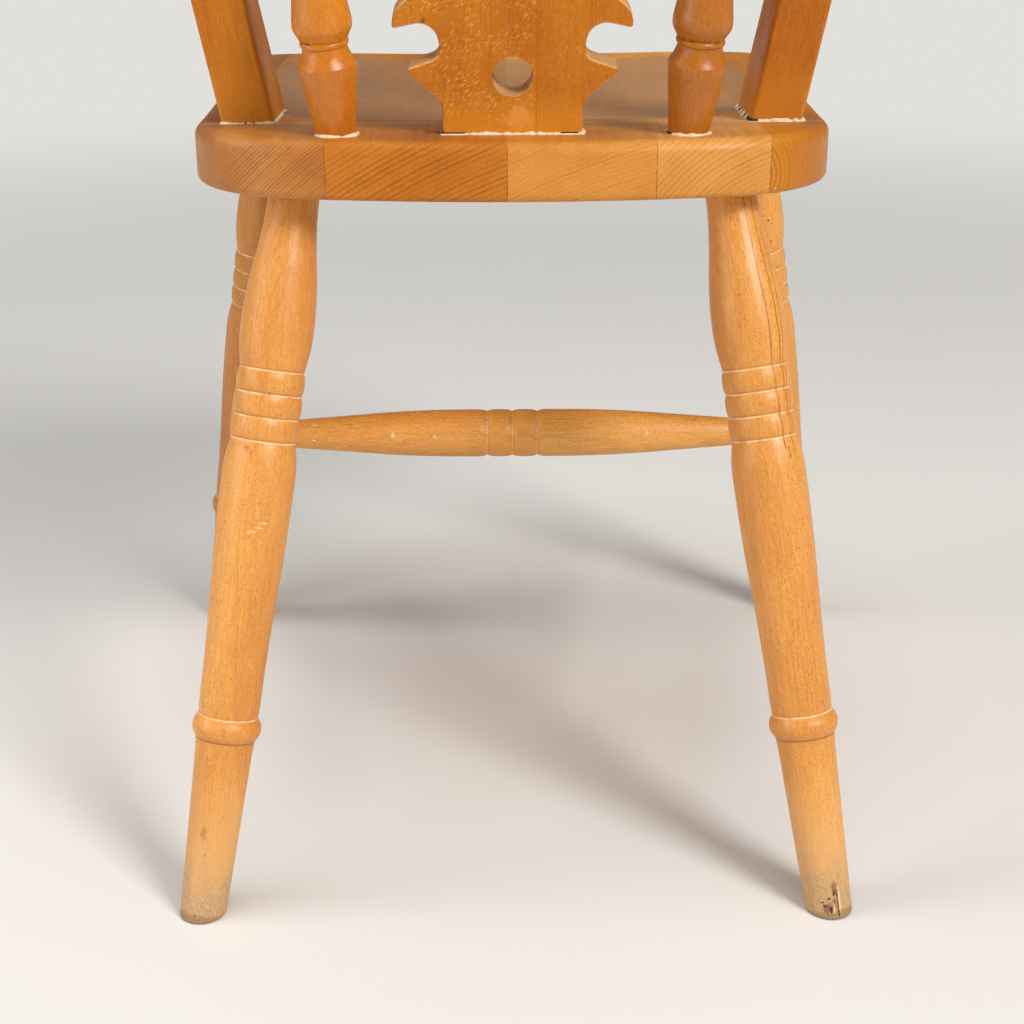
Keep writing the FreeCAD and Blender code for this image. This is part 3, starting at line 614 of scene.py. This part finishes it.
# Each leg: its upper end, foot and side, the way to the pith, and the seed of its figure.
LEG_PIECES = {
    "rear_left_leg": (REAR_LEG_TOP, REAR_LEG_FOOT, 1, (0.035, -0.05, 0.0), 1.0),
    "rear_right_leg": (REAR_LEG_TOP, REAR_LEG_FOOT, -1, (-0.05, -0.015, 0.0), 2.0),
    "front_left_leg": (FRONT_LEG_TOP, FRONT_LEG_FOOT, 1, (0.02, -0.06, 0.0), 3.0),
    "front_right_leg": (FRONT_LEG_TOP, FRONT_LEG_FOOT, -1, (-0.03, -0.05, 0.0), 4.0),
}
for name, (top, foot, side, pith, seed) in LEG_PIECES.items():
    start = mirrored(top, side)
    end = mirrored(foot, side)
    layers = (
        # Painted highlights and shade at the grooves and at the ring's top.
        grooves(*LEG_GROOVES),
        grooves(LEG_RING_TOP, shade_share=0.25),
        shade_under_ring(LEG_RING_END),
        chips(30 * MM, 0.25),
        worn_foot((end - start).length),
        *LEG_MARKS.get(name, ()),
    )
    look = {**TURNED, **SEAT_SHADOW_TONES} if name == "front_left_leg" else TURNED
    wood = Wood(name, start, end - start, pith, seed)
    nodes[name].data.materials[0] = wood.build(vary(layers=layers, **look))

# Stretchers.
CROSS_MIDDLE = (0, 0.0048, STRETCHER_HEIGHT)
CROSS_GROOVES = (-0.0168, 0.0, 0.0168)
CROSS_VIEW = (0.0, 0.8, 0.5)
SIDE_STRETCHER_REAR = (0.1512, 0.1824, STRETCHER_HEIGHT)
SIDE_STRETCHER_FRONT = (0.1985, -0.1706, STRETCHER_HEIGHT)
cross = Wood("cross_stretcher", CROSS_MIDDLE, (1, 0, 0), (0, -0.05, 0.02), 5.0)
cross_layers = (
    # Painted highlights at the grooves, each below painted shade.
    grooves(*CROSS_GROOVES, half=0.4 * MM, share=0.5),
    marks(((14, 131, 0.5, 2.2), (6, 134, 0.4, 1.6), (20, 128, 0.3, 1.2)),
          (250, 206, 146), CROSS_VIEW, 0.85),
    marks(((-38, 132, 1.2, 1.6),), (246, 214, 160), CROSS_VIEW, 0.9),
    chips(24 * MM, 0.3),
)
cross_look = {**TURNED, "light": tone(240, 180, 88), "dark": tone(224, 156, 66)}
nodes["cross_stretcher"].data.materials[0] = cross.build(vary(layers=cross_layers, **cross_look))
for name, side, seed in (("left_side_stretcher", 1, 6.0), ("right_side_stretcher", -1, 7.0)):
    rear = mirrored(SIDE_STRETCHER_REAR, side)
    fore = mirrored(SIDE_STRETCHER_FRONT, side)
    wood = Wood(name, (rear + fore) / 2, fore - rear, (0.03 * side, 0, 0.04), seed)
    nodes[name].data.materials[0] = wood.build(vary(**TURNED))

# Posts.
POST_TONES = {
    "light": tone(214, 134, 8),
    "dark": tone(192, 108, 2),
    "curl_sheen": 0.05,
    "fibre": 0.32,
    "flecks": 0.5,
    "sheen": (0.38, 0.52),
    "gloss": 0.16,
}
for name, side, seed in (("left_back_post", 1, 8.0), ("right_back_post", -1, 9.0)):
    start = mirrored(POST_FOOT, side)
    wood = Wood(name, start, mirrored(POST_HEAD, side) - start, (0.01 * side, -0.09, 0), seed)
    look = vary(layers=(paler_foot(0.05, (234, 160, 62), 0.5), chips(30 * MM, 0.2)), **POST_TONES)
    nodes[name].data.materials[0] = wood.build(look)

# Spindles. The photograph shows a crisp shoulder and a slim ring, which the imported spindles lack:
# station above the foot and diameter, in mm.
SHOULDER_ANGLE = math.radians(32)
SHOULDER = (
    (35.2, 31.2), (38.8, 31.75), (39.3, 31.5), (39.8, 30.9), (41.0, 29.6), (42.3, 28.2),
    (43.7, 26.9), (45.2, 25.8), (46.7, 24.9), (48.0, 24.3), (48.8, 24.1), (49.1, 24.6),
    (49.6, 25.6), (50.2, 26.2), (50.9, 26.4), (51.5, 26.1), (52.0, 25.4), (52.3, 24.9),
    (52.6, 25.75),
)


def recut_spindle(name, foot, axis):
    """Show a copy of the spindle whose surface follows SHOULDER between its cone and its urn."""
    mesh = bmesh.new()
    mesh.from_mesh(nodes[name].data)
    for station, _ in SHOULDER:
        bmesh.ops.bisect_plane(
            mesh, geom=mesh.verts[:] + mesh.edges[:] + mesh.faces[:],
            plane_co=foot + axis * station * MM, plane_no=axis,
        )
    for vertex in mesh.verts:
        station = (vertex.co - foot).dot(axis)
        centre = foot + axis * station
        for (low, first), (high, last) in zip(SHOULDER, SHOULDER[1:]):
            if low <= station / MM < high:
                share = (station / MM - low) / (high - low)
                radius = (first + (last - first) * share) / 2 * MM
                vertex.co = centre + (vertex.co - centre).normalized() * radius
    bmesh.ops.remove_doubles(mesh, verts=mesh.verts, dist=1e-6)
    data = bpy.data.meshes.new("shown_" + name)
    mesh.to_mesh(data)
    mesh.free()
    if "custom_normal" in data.attributes:
        data.attributes.remove(data.attributes["custom_normal"])
    data.shade_smooth()
    data.set_sharp_from_angle(angle=SHOULDER_ANGLE)
    data.materials.clear()
    data.materials.append(nodes[name].data.materials[0])
    piece = linked("shown_" + name, data)
    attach(piece, "root")
    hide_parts(name)


SPINDLE_TONES = {
    "light": tone(222, 140, 18),
    "dark": tone(198, 114, 8),
    "curl_sheen": 0.04,
    "fibre": 0.34,
    "flecks": 0.5,
    "sheen": (0.25, 0.36),
    "gloss": 0.42,
}
DARK_SPINDLE = {**SPINDLE_TONES, "light": tone(194, 118, 4), "dark": tone(172, 96, 1)}
for name, side, seed, look in (
    ("left_back_spindle", 1, 10.0, SPINDLE_TONES),
    ("right_back_spindle", -1, 11.0, DARK_SPINDLE),
):
    start = mirrored(SPINDLE_FOOT, side)
    wood = Wood(name, start, mirrored(SPINDLE_HEAD, side) - start, (0.02 * side, -0.05, 0), seed)
    nodes[name].data.materials[0] = wood.build(vary(**look))
    recut_spindle(name, start, wood.along)

# Splat boards and crest rail.
up = Vector((0, math.sin(SPLAT_LEAN), math.cos(SPLAT_LEAN)))
SPLAT_TONES = {
    "light": tone(198, 119, 3),
    "dark": tone(182, 101, 1),
    "curl_sheen": 0.03,
    "flecks": 0.1,
    "grit": 0.4,
    "sheen": (0.36, 0.5),
    "gloss": 0.16,
    "end_share": 0.0,
}
SPLAT_COMMON = (
    paler_foot(0.03, (238, 160, 54), 0.6),
    seams(SPLAT_SEAM, share=0.45, shade=(132, 70, 14), half=0.3 * MM),
    sawn_and_top_lit(),
)
SPLAT_BOARDS = {
    "splat_left_board": ((-0.12, 0.02, 0), 12.0, (
        pale_rays(40, 3.6 * MM, 0.34 * MM, 0.9, 0.1),
        blot((0.0472, 0.1689, 0.5011), (0.0012, 0.01, 0.0022), (110, 58, 22), 0.7),
        blot((-0.003, 0.158, 0.4482), (0.008, 0.02, 0.009), (240, 178, 104), 0.4),
    )),
    "splat_right_board": ((0.03, -0.09, 0), 13.0, (pale_rays(84, 2.6 * MM, 0.32 * MM, 0.45, 0.3),)),
}
for name, (pith, seed, figure) in SPLAT_BOARDS.items():
    wood = Wood(name, SPLAT_FOOT, up, pith, seed)
    nodes[name].data.materials[0] = wood.build(vary(layers=figure + SPLAT_COMMON, **SPLAT_TONES))
rail = Wood("crest_rail", RAIL_MIDDLE, (1, 0, 0), (0, -0.08, 0.02), 14.0)
nodes["crest_rail"].data.materials[0] = rail.build(vary(**SPLAT_TONES))
through_rail = up.cross(Vector((1, 0, 0)))
pins = Wood("crest_rail_pins", RAIL_MIDDLE, through_rail, (0.05, 0, 0.02), 15.0)
nodes["crest_rail_pins"].data.materials[0] = pins.build(vary(light=tone(200, 120, 50)))

# Seat boards: the grain runs from front to back, so that the rear edge shows the rings.
# Each board: the pith's place from the board's middle (sideways, rise), the rings' pitch in mm,
# light and dark tone, how dark the rings are, and cell in mm and share of its chips.
SEAT_SEED = 16.0
SEAT_WAVER = 1.6 * MM
SEAT_TONES = {
    "ring": tone(172, 126, 84),
    "rings": 0.25,
    "unevenness": 0.8,
    "faintest": 0.25,
    "grit": 0.7,
    "flecks": 0.16,
    "curl_sheen": 0.03,
    "gloss": 0.26,
    "sheen": (0.32, 0.46),
}
SEAT_BOARDS = (
    (-0.058, -0.016, 1.9, (184, 122, 58), (164, 100, 42), 0.4, 12, 0.3),
    (-0.240, -0.267, 1.7, (204, 142, 72), (184, 118, 50), 0.95, 5, 0.35),
    (-0.188, -0.354, 2.8, (206, 132, 36), (190, 114, 22), 0.6, 9, 0.3),
    (-0.136, -0.376, 2.4, (220, 156, 68), (206, 138, 52), 0.3, 14, 0.2),
    (-0.050, -0.075, 2.8, (228, 166, 84), (214, 150, 68), 0.4, 12, 0.3),
    (0.045, -0.005, 2.8, (208, 136, 28), (190, 116, 18), 0.5, 12, 0.3),
)
edges = (SEAT_EDGE, *GLUE_LINES, -SEAT_EDGE)
for index, (sideways, rise, pitch, light, dark, rings, cell, share) in enumerate(SEAT_BOARDS):
    name = f"seat_board_{index + 1}"
    middle = Vector(((edges[index] + edges[index + 1]) / 2, 0.0, SEAT_MIDDLE_HEIGHT))
    pith = (sideways, 0.0, rise)
    wood = Wood(name, middle, (0, 1, 0), pith, SEAT_SEED + index, pitch * MM, SEAT_WAVER)
    look = vary(
        light=tone(*light), dark=tone(*dark), end_rings=rings,
        layers=(hollow_wear_and_reflection(), seams(*GLUE_LINES, top=0.25), chips(cell * MM, share)),
        **SEAT_TONES,
    )
    nodes[name].data.materials[0] = wood.build(look)


# Dried glue round the feet of the back pieces.
def foot_outline(node, height):
    """The outline of the node where the plane at that height cuts it, as a list of points."""
    mesh = bmesh.new()
    mesh.from_mesh(node.data)
    bmesh.ops.remove_doubles(mesh, verts=mesh.verts, dist=1e-5)
    cut = bmesh.ops.bisect_plane(
        mesh, geom=mesh.verts[:] + mesh.edges[:] + mesh.faces[:],
        plane_co=(0, 0, height), plane_no=(0, 0, 1),
    )["geom_cut"]
    edges = [e for e in cut if isinstance(e, bmesh.types.BMEdge)]
    links = {}
    for edge in edges:
        for vertex, other in (edge.verts, reversed(edge.verts)):
            links.setdefault(vertex, []).append(other)
    loops, seen = [], set()
    for first in links:
        if first in seen:
            continue
        loop, here = [], first
        while here is not None:
            seen.add(here)
            loop.append(here.co.copy())
            here = next((v for v in links[here] if v not in seen), None)
        loops.append(loop)
    mesh.free()
    return max(loops, key=len)


def resampled(points, step):
    """The closed outline as points about step apart, counter-clockwise."""
    area = sum(a.x * b.y - b.x * a.y for a, b in zip(points, points[1:] + points[:1]))
    if area < 0:
        points = points[::-1]
    lengths = [(b - a).length for a, b in zip(points, points[1:] + points[:1])]
    total = sum(lengths)
    count = max(12, round(total / step))
    result, index, walked = [], 0, 0.0
    for number in range(count):
        target = total * number / count
        while walked + lengths[index] < target:
            walked += lengths[index]
            index += 1
        share = (target - walked) / lengths[index]
        result.append(points[index].lerp(points[(index + 1) % len(points)], share))
    return result


BEAD_STEP = 0.7 * MM
BEAD_SMOOTHING = 4
BEAD_OVERLAP = 0.1 * MM
BEAD_SINK = 0.02 * MM
# From the foot outwards: share of the bead's width and share of its height.
BEAD_PROFILE = ((0.0, 1.0), (0.25, 0.9), (0.6, 0.6), (0.88, 0.28), (1.0, 0.0))


def glue_bead(name, outline, seed, voids, width, height, lip=0.0):
    """Dried glue squeezed out round a foot; painted shade in the gap where the glue is missing.

    lip is the share of a void's outer width that still holds glue.
    """
    draw = random.Random(seed)
    ring = resampled(outline, BEAD_STEP)
    count = len(ring)
    swell = [draw.gauss(0, 1) for _ in range(count)]
    for _ in range(BEAD_SMOOTHING):
        swell = [(swell[i - 1] + 2 * swell[i] + swell[(i + 1) % count]) / 4 for i in range(count)]
    mesh = bmesh.new()
    dirt_and_shade = mesh.verts.layers.float.new("dirt_and_shade")
    rows = []
    for i, point in enumerate(ring):
        along = (ring[(i + 1) % count] - ring[i - 1]).normalized()
        out = Vector((along.y, -along.x, 0))
        empty = any(
            low_x <= point.x / MM <= high_x and low_y <= point.y / MM <= high_y
            for low_x, high_x, low_y, high_y in voids
        )
        size = (1.1 if lip else 0.8) if empty else max(0.45, 1.0 + 0.55 * swell[i])
        row = []
        for far, tall in BEAD_PROFILE:
            place = point + out * (far * size * width - BEAD_OVERLAP)
            place.z = SEAT_TOP - BEAD_SINK + tall * size * height
            vertex = mesh.verts.new(place)
            # Painted shade: the strip in a gap is marked to be near black.
            vertex[dirt_and_shade] = 1.0 if empty and far < 1.0 - lip else 0.0
            row.append(vertex)
        rows.append(row)
    for i in range(count):
        here, there = rows[i], rows[(i + 1) % count]
        for k in range(len(BEAD_PROFILE) - 1):
            mesh.faces.new((here[k], here[k + 1], there[k + 1], there[k]))
    bmesh.ops.recalc_face_normals(mesh, faces=mesh.faces)
    data = bpy.data.meshes.new(name)
    mesh.to_mesh(data)
    mesh.free()
    for face in data.polygons:
        face.use_smooth = True
    data.materials.append(glue.material)
    piece = linked(name, data)
    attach(piece, "root")


glue = Surface("dried_glue")
spot = glue.add("TexCoord").outputs["Object"]
grain = glue.noise(spot, (0.9 * MM, 0.9 * MM, 0.9 * MM), 3.0, 0.6)
glue_colour = glue.blend(glue.span(grain, 0.4, 0.7), tone(246, 230, 200), tone(214, 170, 112))
dirt_and_shade = glue.add("Attribute", attribute_name="dirt_and_shade").outputs["Fac"]
# Painted shade and shadow: near black where the glue is missing.
glue_colour = glue.blend(glue.span(dirt_and_shade, 0.2, 0.8), glue_colour, tone(34, 20, 12))
glue.finish(glue_colour, glue.span(grain, 0.3, 0.7, 0.35, 0.6), grain, 0.2 * MM)
FOOT_OUTLINE_HEIGHT = SEAT_TOP + 0.6 * MM
# For each foot, in mm: the stretches of its outline without glue (low x, high x, low y, high y),
# and the width and height of the bead.
# In these stretches the gap is painted dark, as shade.
FEET = {
    "left_back_post": (((150.4, 151.4, 100, 130), (146, 147, 100, 130)), 1.1, 1.0),
    "right_back_post": (
        ((-139, -128, 62, 66), (-139, -128, 71, 76), (-139, -128, 82, 88), (-139, -128, 94, 101),
         (-139.6, -128, 106, 130)),
        1.9, 2.3,
    ),
    "left_back_spindle": ((), 1.6, 1.3),
    "right_back_spindle": (((-90, -80, 150, 160),), 1.6, 1.2),
}
for index, (name, (voids, wide, tall)) in enumerate(FEET.items()):
    outline = foot_outline(nodes[name], FOOT_OUTLINE_HEIGHT)
    glue_bead("glue_" + name, outline, index + 1, voids, wide * MM, tall * MM)
# Where the splat has no glue, painted shade and shadow fill the gap.
SPLAT_VOIDS = ((26, 60, 120, 180), (-36, -26, 140, 180))
SPLAT_GLUE_SEED = 9
splat_outline = [
    Vector((x * SPLAT_HALF_WIDTH, SPLAT_FOOT[1] + y * SPLAT_HALF_DEPTH, SEAT_TOP))
    for x, y in ((1, 1), (-1, 1), (-1, -1), (1, -1))
]
glue_bead("glue_splat", splat_outline, SPLAT_GLUE_SEED, SPLAT_VOIDS, 1.4 * MM, 1.3 * MM, 0.35)

# Floor.
FLOOR_REACH = 14.0
FLOOR_FADE = (1.0, 3.2)
FLOOR_TONE = (226, 224, 220)
floor_mesh = bpy.data.meshes.new("floor")
corners = [(FLOOR_REACH * x, FLOOR_REACH * y, 0) for x, y in ((-1, -1), (1, -1), (1, 1), (-1, 1))]
floor_mesh.from_pydata(corners, [], [(0, 1, 2, 3)])
floor = linked("floor", floor_mesh)
paint = Surface("floor_paint")
spot = paint.add("TexCoord").outputs["Object"]
mottle = paint.noise(spot, (0.4, 0.4, 0.4), 3.0)
floor_colour = paint.blend(mottle, tone(*FLOOR_TONE), tone(222, 220, 216))
floor_mesh.materials.append(paint.finish(floor_colour, 0.8, mottle, 0.1 * MM))
# Far from the chair the floor is as pale as it is near it.
rays = paint.add("LightPath").outputs
seen = paint.math("MAXIMUM", rays["Is Camera Ray"], rays["Is Glossy Ray"])
seen = paint.math("MAXIMUM", seen, rays["Is Transmission Ray"])
distant = paint.span(paint.vector("LENGTH", spot), *FLOOR_FADE)
glow = paint.add("Emission", {"Color": tone(*FLOOR_TONE), "Strength": 1.0})
mixer = paint.add("MixShader", {0: paint.math("MULTIPLY", seen, distant)})
output = paint.tree.nodes["Material Output"]
paint.tree.links.new(output.inputs["Surface"].links[0].from_socket, mixer.inputs[1])
paint.tree.links.new(glow.outputs[0], mixer.inputs[2])
paint.tree.links.new(mixer.outputs[0], output.inputs["Surface"])


# Light.
def lamp(name, place, target, size, power, colour=(1, 1, 1)):
    """A round lamp of that size in metres and power in watts, turned to its target."""
    data = bpy.data.lights.new(name, "AREA")
    data.shape = "DISK"
    data.size = size
    data.energy = power
    data.color = colour
    holder = linked(name, data)
    holder.location = place
    holder.rotation_euler = (Vector(target) - Vector(place)).to_track_quat("-Z", "Y").to_euler()


TARGET = (0, 0, 0.35)
lamp("key", (-2.5, 3.0, 3.0), TARGET, 1.6, 176, (1.0, 0.98, 0.95))
lamp("window", (3.6, 0.2, 2.8), TARGET, 1.8, 48, (0.98, 0.99, 1.0))
lamp("side", (1.15, 0.75, 0.62), (0.16, 0.2, 0.25), 0.7, 4.6)
lamp("overhead", (0, 0.6, 5.0), TARGET, 3.0, 78)

# The air is stronger behind the chair, on the camera's side, than in front of it.
AIR_IN_FRONT = 0.14
AIR_BEHIND = 0.27
world = bpy.data.worlds.new("studio")
bpy.context.scene.world = world
world.use_nodes = True
air = world.node_tree
sky = air.nodes["Background"]
sky.inputs["Color"].default_value = (1.0, 0.99, 0.97, 1)
way = air.nodes.new("ShaderNodeSeparateXYZ")
air.links.new(air.nodes.new("ShaderNodeTexCoord").outputs["Generated"], way.inputs[0])
fade = air.nodes.new("ShaderNodeMapRange")
fade.inputs["From Min"].default_value = -1.0
fade.inputs["To Min"].default_value = AIR_IN_FRONT
fade.inputs["To Max"].default_value = AIR_BEHIND
air.links.new(way.outputs[1], fade.inputs["Value"])
air.links.new(fade.outputs["Result"], sky.inputs["Strength"])

# Camera, fitted to the photograph.
CAMERA_LENS = 60.77
CAMERA_PLACE = (0.0063, 1.10825, 0.5857)
CAMERA_TILT = math.radians(21.03)
CAMERA_TURN = math.radians(-0.309)
CAMERA_ROLL = math.radians(-0.2235)
eye = bpy.data.cameras.new("eye")
eye.sensor_width = 36
eye.lens = CAMERA_LENS
camera = linked("eye", eye)
turn = (
    Matrix.Rotation(math.pi + CAMERA_TURN, 4, "Z")
    @ Matrix.Rotation(math.pi / 2 - CAMERA_TILT, 4, "X")
    @ Matrix.Rotation(CAMERA_ROLL, 4, "Z")
)
camera.matrix_world = Matrix.Translation(CAMERA_PLACE) @ turn
bpy.context.scene.camera = camera
bpy.context.scene.view_settings.view_transform = "Standard"
